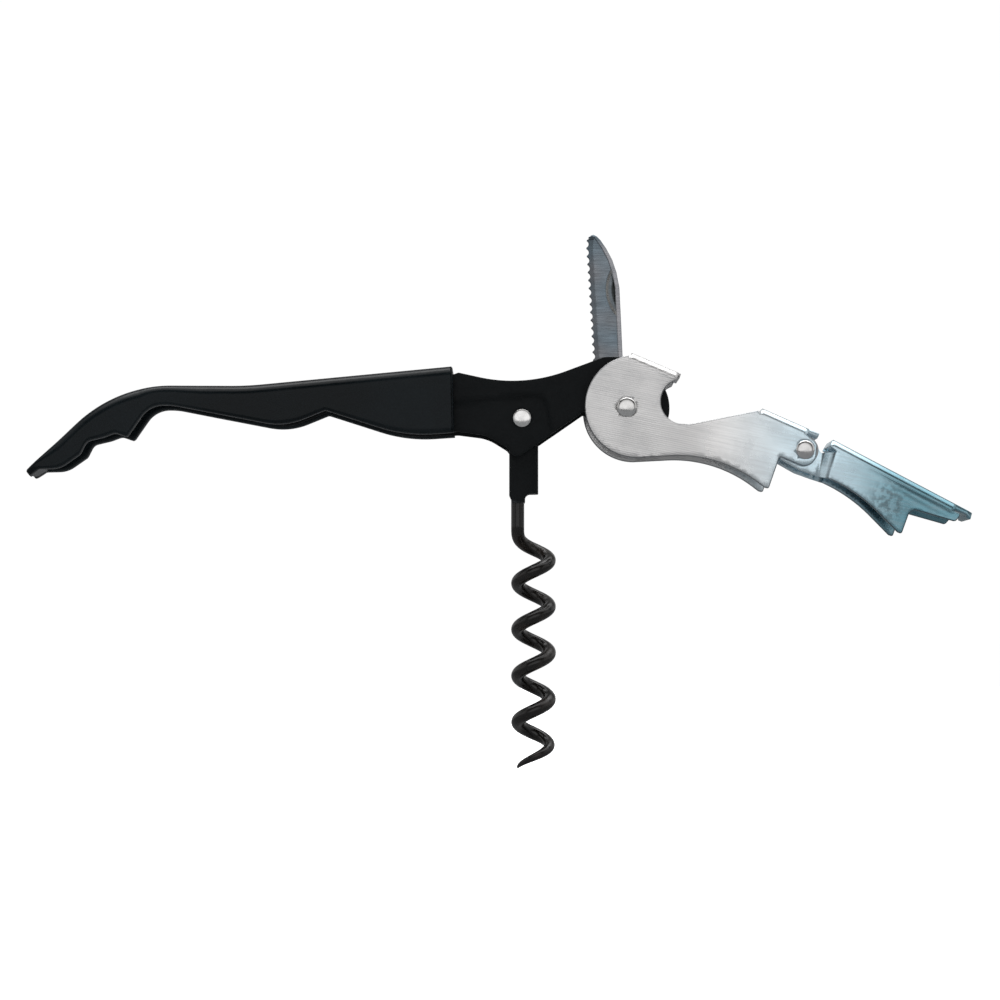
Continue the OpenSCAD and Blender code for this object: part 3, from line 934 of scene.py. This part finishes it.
class CORKSCREW_OT_worm(PieceOperator, bpy.types.Operator):
    """Folded clip, and a wire carried down a straight shank and round the coil to its point"""

    bl_idname = "corkscrew.worm"
    bl_label = "Worm and clip"

    def execute(self, context):
        self.clip()
        self.wire()
        return {"FINISHED"}

    def clip(self):
        radius, sheet, right = 1.35, 1.25, 3.1
        seam_x = right - radius
        eye = arc((0, 0), 2.55, 20, 200, 6)
        by_fold = [[seam_x, -14.1, 0], [seam_x, -5, 0], [right, -4.6, 0.4], [right, -1, 0.8]]
        low = open_run(CLIP_CORNERS + by_fold + [[*eye[0], 0]], (0, 0), eye[0])
        outline = np.concatenate([eye, low])
        shell = Shell()
        seam = (np.array([seam_x, -14.1]), np.array([seam_x, -5.0]))
        for side in (-1, 1):
            plate(
                shell, outline, side * (CLIP_Y - sheet), side * CLIP_Y, 0.15, seams=[seam],
                holes=[[0, 0, 1.56]], gap=0.9,
            )
        # The fold runs down the clip's right side
        fold(shell, (right, -5.0), (right, -14.1), CLIP_Y, radius, sheet)
        settle(shell.build("worm_clip_piece", WORM_AT), "worm", "worm_clip")

    def wire(self):
        """Centre line: straight down, then a circle whose turns grow as the square of the drop
        over the lead-in and evenly after it. The section is a circle whose radius falls as the
        square root of the distance left near the point."""
        wire_r, pitch, turns, lead, point = 1.25, 8.75, 5, 4.0, 6.5
        top = WORM_AT[1] - 4
        coil = turns * pitch + lead / 2
        shank = top - coil
        helix = (WIRE_X[1] - WIRE_X[0]) / 2 - wire_r
        drop = np.concatenate([
            np.linspace(-shank, -1, 24),
            np.arange(-1, coil - point, pitch / 72)[1:],
            coil - np.linspace(point, 0, 46),
        ])
        done = np.where(drop < 0, 0, np.where(drop < lead, drop**2 / (2 * lead), drop - lead / 2)) / pitch
        a = np.pi - 2 * np.pi * done
        line = np.stack([helix * np.cos(a), helix * np.sin(a), top - shank - drop], 1)
        along = np.gradient(line, axis=0)
        along /= np.maximum(np.linalg.norm(along, axis=1), 1e-9)[:, None]
        out = np.stack([np.cos(a), np.sin(a), 0 * a], 1)
        across = np.cross(along, out)
        r = np.maximum(wire_r * np.sqrt(np.clip((coil - drop) / point, 0, 1)), 0.03)
        v = np.linspace(0, 2 * np.pi, 28, endpoint=False)
        p = line[:, None] + r[:, None, None] * (
            np.cos(v)[None, :, None] * out[:, None] + np.sin(v)[None, :, None] * across[:, None]
        )
        shell = Shell()
        shell.grid(p, wrap=True)
        shell.fan(p[0], line[0])
        shell.fan(p[-1], line[-1])
        settle(shell.build("worm_wire_piece", weighted=False), "worm", "worm_wire")


KNIFE_BACK = [
    [0.9, 2.2], [-0.5, 9.8], [-0.75, 16.0], [-1.1, 23.4], [-1.65, 26.3], [-2.45, 28.7], [-3.6, 30.9],
    [-4.7, 32.5], [-5.4, 33.2], [-6.0, 33.57],
]
KNIFE_EDGE = [
    [-5.7, 2.2], [-6.1, 9.0], [-7.4, 31.4], [-7.3, 32.5], [-6.9, 33.15], [-6.3, 33.5], [-6.05, 33.57]
]
KNIFE_TANG = [[-5.6, 2.2, 0], [-4.6, -3.0, 2.4], [3.0, -3.4, 2.4], [3.4, 2.4, 2], [0.9, 2.2, 0.2]]
TEETH = (9.4, 32.9)
FIRST_TOOTH, TOOTH_R = 8.79, 0.72
NICK_AT, NICK_R = (3.85, 23.1), 7.6


class CORKSCREW_OT_knife(PieceOperator, bpy.types.Operator):
    """Foil knife: for each height, a section from the toothed edge to the back"""

    bl_idname = "corkscrew.knife"
    bl_label = "Knife"

    def execute(self, context):
        back, edge = np.array(KNIFE_BACK), np.array(KNIFE_EDGE)
        # Rows are close together along the teeth and at the point
        s = np.concatenate([
            np.linspace(0, 0.2, 12)[:-1], np.linspace(0.2, 0.955, 330), np.linspace(0.955, 1, 40)[1:]
        ])
        z_low, z_high = 2.2, 33.55
        z = z_low + s * (z_high - z_low)
        xb = np.interp(z, back[:, 1], back[:, 0])
        xe = np.interp(z, edge[:, 1], edge[:, 0])
        pitch = self.sizes.tooth_pitch
        straight = xe
        phase = ((z - FIRST_TOOTH) / pitch + 0.5) % 1 - 0.5
        scallop = np.sqrt(np.clip(TOOTH_R**2 - (phase * pitch) ** 2, 0, None)) - 0.30
        toothed = (z > TEETH[0]) & (z < TEETH[1])
        xe = xe + np.where(toothed, np.clip(scallop, 0, None), 0)
        u = np.concatenate([np.linspace(0, 0.3, 10)[:-1], np.linspace(0.3, 1, 58)])
        x = xe[:, None] + (xb - xe)[:, None] * u
        from_edge = x - straight[:, None]
        from_back = xb[:, None] - x
        ground = np.clip(from_edge / 1.3, 0, 1)
        half = 0.3 + (KNIFE_Y - 0.3) * ground
        rim = np.clip(from_back / 0.12, 0, 1)
        half *= 0.86 + 0.14 * np.sqrt(rim * (2 - rim))
        zz = np.repeat(z[:, None], len(u), 1)
        # The nail nick is a crescent between a circle and the spine's band, cut only in the front
        into = NICK_R - np.hypot(x - NICK_AT[0], zz - NICK_AT[1])
        nick = np.clip(into / 1.5, 0, 1) ** 0.7 * step((from_back - 0.95) / 0.14)
        nick *= step((zz - 16.4) / 1.2) * step((29.4 - zz) / 1.2)
        hollow = 0.1 * step((from_back - 0.72) / 0.2)
        front = np.stack([x, -(half - 0.42 * nick - hollow), zz], 2)
        rear = np.stack([x, half, zz], 2)
        shell = Shell()
        shell.grid(front)
        shell.grid(rear)
        for front_side, rear_side in (
            (front[0], rear[0]), (front[-1], rear[-1]),
            (front[:, 0], rear[:, 0]), (front[:, -1], rear[:, -1]),
        ):
            shell.grid(np.stack([front_side, rear_side]))
        obj = shell.build("knife_piece", LEVER_AT)
        px, py, pz = points_of(obj, LEVER_AT).T
        from_spine = np.interp(pz, back[:, 1], back[:, 0]) - px
        spine = step((0.95 - from_spine) / 0.25) * step((33 - pz) / 3)
        put_mask(obj, "spine", spine)
        # The nick mask carries the nail nick's painted highlight and painted shade
        cut = (NICK_R - np.hypot(px - NICK_AT[0], pz - NICK_AT[1])) * (spine < 0.5) * (py < 0)
        put_mask(obj, "nick", np.clip(cut, 0, 2))
        settle(obj, "knife", "knife_blade")
        tang = Shell()
        plate(
            tang, rounded(KNIFE_TANG), -KNIFE_Y, KNIFE_Y, 0.1, holes=[[0, 0, 1.56]],
        )
        obj = tang.build("knife_tang", LEVER_AT)
        obj.data.materials.append(bpy.data.materials["knife_steel"])
        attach(obj, "knife")
        return {"FINISHED"}


class CORKSCREW_OT_lever(PieceOperator, bpy.types.Operator):
    """First lever: two side plates joined by a bent tab over the disc and a fold at the hinge"""

    bl_idname = "corkscrew.lever"
    bl_label = "First lever"

    def execute(self, context):
        z = self.sizes
        disc, notch = (1.8, 0.2), (10.6, 1.1)
        tab_a, tab_b = (1.0, 10.4), (9.9, 6.627)
        end_a, end_b = (25.6, -0.1), (34.4, -4.011)
        tab = seam_under(tab_a, tab_b, z.bend)
        end = seam_under(end_a, end_b, z.bend)
        bottom = rounded([
            [24.7, -0.62, 0], [*end[0], 0], [*end[1], 0], [35.75, -6.7, 1.4], [35.3, -12, 2.2],
            [28.7, -9.3, 0.3], [26.6, -15.3, 0.35], [25.8, -15.1, 0.35], [17.4, -8.7, 25], [1.8, -9.5, 0],
            [1.8, -0.5, 0], [10.6, -0.5, 0], [10.6, -3.1, 0], [12, -3.15, 2],
        ])
        for p in ([1.8, -0.5], [10.6, -0.5]):
            bottom = bottom[~np.isclose(bottom, p).all(1)]
        first = int(np.argmin(np.linalg.norm(bottom - [1.8, -9.5], axis=1)))
        bottom = np.roll(bottom, -first, 0)
        # anticlockwise: disc bottom, prong, second hinge, arm top, notch, tab, disc
        around = arc(notch, 4.2, 268, 110, 6)
        rim = arc(disc, 9.7, 98.2, 269, 3)
        outline = np.concatenate([bottom, around, [tab[1], tab[0]], rim])
        pivot = TIP_AT - LEVER_AT

        def bow(p):
            """A slight unevenness that the press leaves."""
            wave = np.sin(p[:, 0] * 0.23 + 0.6) * np.cos(p[:, 1] * 0.31)
            return 0.03 * wave * step((distance(p, outline) - 0.6) / 2)

        shell = Shell()
        for side in (-1, 1):
            plate(
                shell, outline, side * (LEVER_Y - z.sheet), side * LEVER_Y, z.sheet_edge,
                seams=[(tab[1], tab[0]), (end[1], end[0])], bow=bow, gap=0.8,
                holes=[[0, 0, 1.56], [*pivot, 1.42]],
            )
        fold(shell, tab_a, tab_b, LEVER_Y, z.bend, z.sheet,
             lip=[(10.3, 6.44), (10.0, 5.6)])
        fold(shell, end_a, end_b, LEVER_Y, z.bend, z.sheet, lip=[(36.35, -4.9), (35.95, -5.75)])
        obj = shell.build("lever_arm_piece", LEVER_AT)
        edge_mask(obj, LEVER_AT, outline, [tab, end], z.sheet_edge)
        settle(obj, "lever", "lever_arm")
        return {"FINISHED"}


class CORKSCREW_OT_tip(PieceOperator, bpy.types.Operator):
    """Second lever: a folded channel with a pressed crease, and two joggled tongues at the hinge"""

    bl_idname = "corkscrew.tip"
    bl_label = "Second lever"

    def execute(self, context):
        z = self.sizes
        a, b = np.array([5.4, 2.0]), np.array([28.6, -10.267])
        seam = seam_under(a, b, z.bend)
        cut = (np.array([6.0, -0.5]), np.array([4.5, -5.45]))
        neck = (np.array([3.1, -0.5]), np.array([2.2, -4.85]))
        outline = rounded([
            [*seam[0], 0], [*seam[1], 0], [29.3, -12.1, 0.5], [28.1, -13.5, 0.6], [20.4, -11.3, 0.5],
            [19.4, -12, 0.4], [18, -15.8, 0.35], [17.2, -15.5, 0.35], [9.5, -7.6, 30], [*cut[1], 0],
            [*cut[0], 0],
        ])

        def crease(p):
            """A shallow groove under the fold that widens and deepens towards the end."""
            start, end, depth = np.array([10.5, -3.2]), np.array([28.2, -12.6]), 0.28
            reach = np.linalg.norm(end - start)
            d = (end - start) / reach
            t = ((p - start) @ d) / reach
            off = (p - start) @ np.array([-d[1], d[0]])
            width = 0.35 + 0.9 * np.clip(t, 0, 1)
            return -depth * step(t * 1.6) * step((1.02 - t) / 0.05) * np.exp(-((off / width) ** 2))

        shell = Shell()
        inner = LEVER_Y - z.sheet
        joggle = 1.3
        for side in (-1, 1):
            plate(
                shell, outline, side * inner, side * LEVER_Y, z.sheet_edge,
                seams=[(seam[1], seam[0]), (cut[0], cut[1])], bow=crease, gap=0.55,
            )
            tongue = rounded([
                [-4.6, 0.6, 1.2], [-1.5, 2.5, 1.2], [1.2, 2.6, 1.3], [*neck[0], 0], [*neck[1], 0],
                [-1.0, -3.7, 2.5], [-4.7, -1.6, 1],
            ])
            plate(
                shell, tongue, side * (inner - joggle), side * (LEVER_Y - joggle), 0.12,
                seams=[(neck[1], neck[0])], holes=[[0, 0, 1.46]], gap=0.7,
            )
            k = np.linspace(0, 1, 9)
            surfaces = []
            for y in (inner, LEVER_Y):
                p = np.zeros((len(k), 2, 3))
                for e in (0, 1):
                    flat = neck[e] + (cut[e] - neck[e]) * k[:, None]
                    p[:, e, 0], p[:, e, 2] = flat[:, 0], flat[:, 1]
                    p[:, e, 1] = side * (y - joggle * (1 - step(k)))
                shell.grid(p)
                surfaces.append(p)
            for e in (0, 1):
                shell.grid(np.stack([surfaces[0][:, e], surfaces[1][:, e]]))
        lip = [
            (30.6, -11.32), (31.45, -11.85), (31.15, -13.0), (30.5, -12.75), (30.4, -12.15), (28.9, -11.55)
        ]
        fold(shell, a, b, LEVER_Y, z.bend, z.sheet, lip)
        obj = shell.build("tip_arm_piece", TIP_AT)
        edge_mask(obj, TIP_AT, outline, [seam, cut], z.sheet_edge)
        settle(obj, "lever_tip", "tip_arm")
        return {"FINISHED"}


class CORKSCREW_OT_rivets(PieceOperator, bpy.types.Operator):
    """Three rivets: a shank and two domed heads with a flat rim, turned about the rivet's axis"""

    bl_idname = "corkscrew.rivets"
    bl_label = "Rivets"

    def execute(self, context):
        for node, body, at, shank, seat in (
            ("worm_rivet", "handle", WORM_AT, 1.48, CHEEK_Y[1] - self.sizes.recess),
            ("lever_rivet", "handle", LEVER_AT, 1.48, LEVER_Y + 0.05),
            ("tip_rivet", "lever", TIP_AT, 1.38, LEVER_Y),
        ):
            low, high = size_mm(node, 0)
            head = (high - low) / 2
            rise = size_mm(node, 1)[1] - seat
            a = np.radians(np.linspace(90, 0, 14))
            dome = np.stack([head * np.sin(a), seat + rise * (0.25 + 0.75 * np.cos(a) ** 0.9)], 1)
            foot = np.array([[shank, seat], [head * 0.97, seat], [head, seat + 0.06]])
            right = np.concatenate([foot, dome[1:]])
            left = right[::-1] * [1, -1]
            shell = Shell()
            revolved(shell, np.concatenate([left, right]))
            settle(shell.build(node + "_piece", at, weighted=False), body, node)
        return {"FINISHED"}


# ---- stage ----


def soft_light(name, where, target, size, watts, tone=(1, 1, 1), shiny=False):
    data = bpy.data.lights.new(name, "AREA")
    data.shape, data.size, data.size_y = "RECTANGLE", size[0], size[1]
    data.energy, data.color = watts, tone
    obj = bpy.data.objects.new(name, data)
    bpy.context.scene.collection.objects.link(obj)
    obj.location = where
    obj.rotation_euler = (Vector(target) - Vector(where)).to_track_quat("-Z", "Y").to_euler()
    # Bright metal mirrors the cloth tent alone, which keeps its edges dark
    obj.visible_glossy = shiny


class CORKSCREW_OT_stage(PieceOperator, bpy.types.Operator):
    """Pale flat floor, a white backdrop, soft studio lights and the camera"""

    bl_idname = "corkscrew.stage"
    bl_label = "Stage, lights and camera"

    def execute(self, context):
        tones = context.scene.corkscrew_finishes
        scene = context.scene
        scene.view_settings.view_transform = "Standard"
        world = scene.world or bpy.data.worlds.new("Studio")
        scene.world = world
        world.use_nodes = True
        # The backdrop is white to the camera. To the pieces it is a tent with bright cloth in
        # front, behind, above and at both sides, and the dark gaps between draw lines along edges
        n = Nodes(world.node_tree)
        background = world.node_tree.nodes["Background"]
        seen = n.add("ShaderNodeLightPath").outputs["Is Camera Ray"]
        way = n.add("ShaderNodeSeparateXYZ", {"Vector": n.add("ShaderNodeTexCoord").outputs["Generated"]})
        x, y, z = way.outputs["X"], way.outputs["Y"], way.outputs["Z"]
        cloths = (
            n.ramp(y, -0.76, -0.92, 0.03, 0.97),
            n.ramp(y, 0.55, 0.9, 0.0, 0.6),
            n.ramp(n.math("ADD", n.times(z, 0.92), n.times(x, 0.39)), 0.76, 0.92, 0.0, 1.7),
            n.ramp(n.math("SUBTRACT", n.times(z, 0.98), n.times(x, 0.2)), 0.8, 0.95, 0.0, 2.2),
            n.ramp(n.times(x, x), 0.3, 0.6, 0.0, 0.65),
        )
        strength = n.times(seen, 1.02)
        for cloth in cloths:
            strength = n.math("MAXIMUM", strength, cloth)
        background.inputs["Color"].default_value = (1, 1, 1, 1)
        n.tree.links.new(strength, background.inputs["Strength"])
        # Floor: flat, 60 mm below the worm's point and wide enough to run out of sight
        shell = Shell()
        u = np.linspace(-1, 1, 9)
        gx, gy = np.meshgrid(u * 6000, u * 6000, indexing="ij")
        shell.grid(np.stack([gx, gy, np.full_like(gx, -60.0)], 2))
        floor = shell.build("floor", weighted=False)
        m, n, shader, where = finish("floor_paper", 0.9)
        cloud = n.noise(where, 3.0, 2.0)
        paper = n.mix(n.times(cloud, 0.04), tones.backdrop, (0.9, 0.9, 0.9))
        # Bright metal mirrors a darker floor, or its plates would vanish against the white
        mirrored = n.add("ShaderNodeLightPath").outputs["Is Glossy Ray"]
        link(n, shader, Base_Color=n.mix(mirrored, paper, (0.16, 0.165, 0.17)))
        shader.inputs["Emission Color"].default_value = (1, 1, 1, 1)
        seen = n.add("ShaderNodeLightPath").outputs["Is Camera Ray"]
        n.tree.links.new(n.times(seen, 0.85), shader.inputs["Emission Strength"])
        floor.data.materials.append(m)
        aim = Vector((-0.00635, 0, 0.0508))
        soft_light("Key", (-0.35, -0.75, 0.75), aim, (0.5, 0.35), 2.5)
        soft_light("Fill", (0.75, -0.6, 0.25), aim, (0.3, 0.5), 0.8, (0.95, 0.98, 1.0))
        soft_light("Top", (0.0, 0.12, 0.9), aim, (1.0, 0.3), 3.0, shiny=True)
        data = bpy.data.cameras.new("Camera")
        camera = bpy.data.objects.new("Camera", data)
        scene.collection.objects.link(camera)
        away, tilt = 0.55, math.radians(-3.0)
        data.sensor_width, data.lens = 36.0, 36.0 * away / 0.190
        data.clip_start = 0.01
        camera.location = aim + Vector((0, -away * math.cos(tilt), away * math.sin(tilt)))
        camera.rotation_euler = (aim - camera.location).to_track_quat("-Z", "Y").to_euler()
        scene.camera = camera
        return {"FINISHED"}


PIECES = (
    CORKSCREW_OT_finishes, CORKSCREW_OT_cheeks, CORKSCREW_OT_grip, CORKSCREW_OT_worm, CORKSCREW_OT_knife,
    CORKSCREW_OT_lever, CORKSCREW_OT_tip, CORKSCREW_OT_rivets, CORKSCREW_OT_stage,
)


class CORKSCREW_PT_panel(bpy.types.Panel):
    """Lists the corkscrew's pieces in the sidebar"""

    bl_idname = "CORKSCREW_PT_panel"
    bl_label = "Waiters corkscrew"
    bl_space_type = "VIEW_3D"
    bl_region_type = "UI"
    bl_category = "Corkscrew"

    def draw(self, context):
        for group_name in ("corkscrew_sizes", "corkscrew_finishes"):
            settings = getattr(context.scene, group_name)
            box = self.layout.box()
            for key in settings.__annotations__:
                box.prop(settings, key)
        for piece in PIECES:
            self.layout.operator(piece.bl_idname)


def register():
    for c in (CorkscrewSizes, CorkscrewFinishes, *PIECES, CORKSCREW_PT_panel):
        bpy.utils.register_class(c)
    bpy.types.Scene.corkscrew_sizes = bpy.props.PointerProperty(type=CorkscrewSizes)
    bpy.types.Scene.corkscrew_finishes = bpy.props.PointerProperty(type=CorkscrewFinishes)


def unregister():
    del bpy.types.Scene.corkscrew_sizes
    del bpy.types.Scene.corkscrew_finishes
    for c in reversed((CorkscrewSizes, CorkscrewFinishes, *PIECES, CORKSCREW_PT_panel)):
        bpy.utils.unregister_class(c)


def main():
    register()
    for piece in PIECES:
        group_name, name = piece.bl_idname.split(".")
        getattr(getattr(bpy.ops, group_name), name)()


if __name__ == "__main__":
    main()
